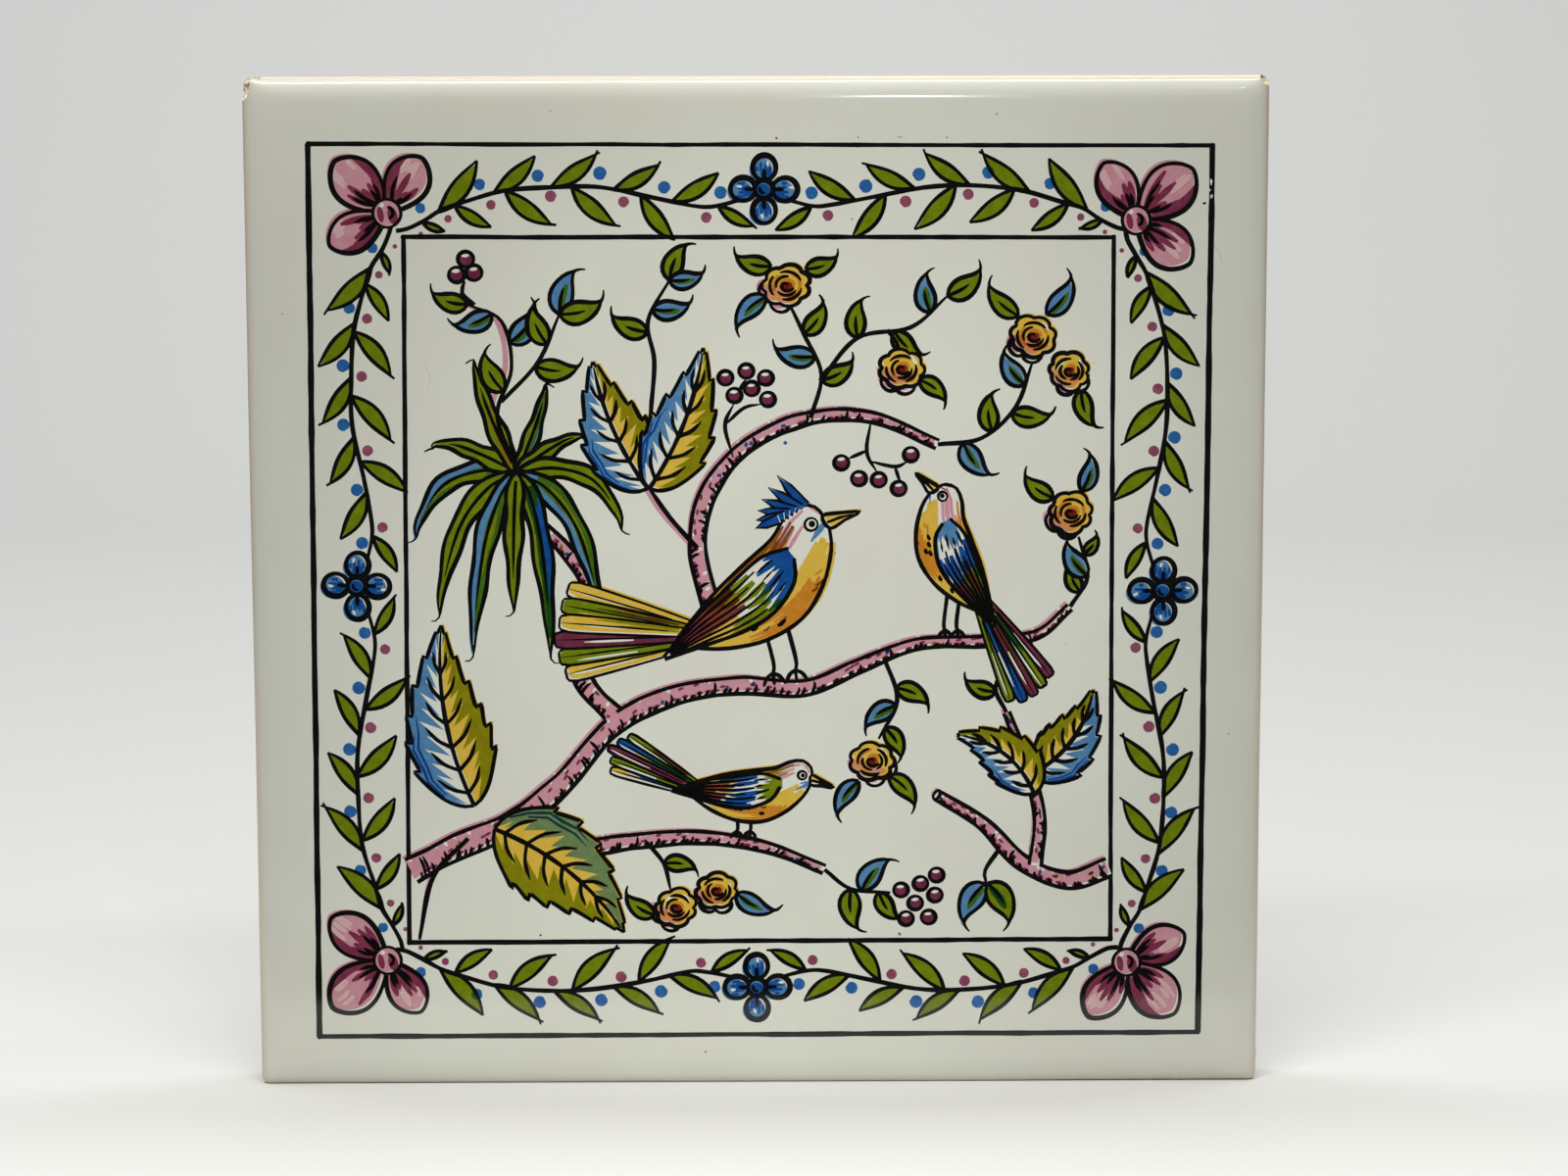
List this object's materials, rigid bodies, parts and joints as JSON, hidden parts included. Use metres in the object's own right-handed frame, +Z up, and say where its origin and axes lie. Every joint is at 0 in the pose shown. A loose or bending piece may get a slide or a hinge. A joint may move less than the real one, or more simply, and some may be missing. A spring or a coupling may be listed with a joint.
{
  "type": "ceramic tile",
  "caption": "Square glazed wall tile with a cushion edge, a printed picture of birds and branches in a leafy border, and a waffle back that beds on a wall.",
  "frame": {"origin": "centre of the bedding plane, which is the plane of the raised lands on the back", "axes": "+Z up the wall, -Y out of the decorated face towards the room, +Y into the wall, +X to the right of someone facing the tile"},
  "size_m": [0.1524, 0.008, 0.1524],
  "materials": {
    "glazed_earthenware": "clear gloss glaze over a cream earthenware body with printed colours, bare body on the back"
  },
  "bodies": {
    "root": {"tile": "glazed_earthenware"}
  },
  "joints": []
}
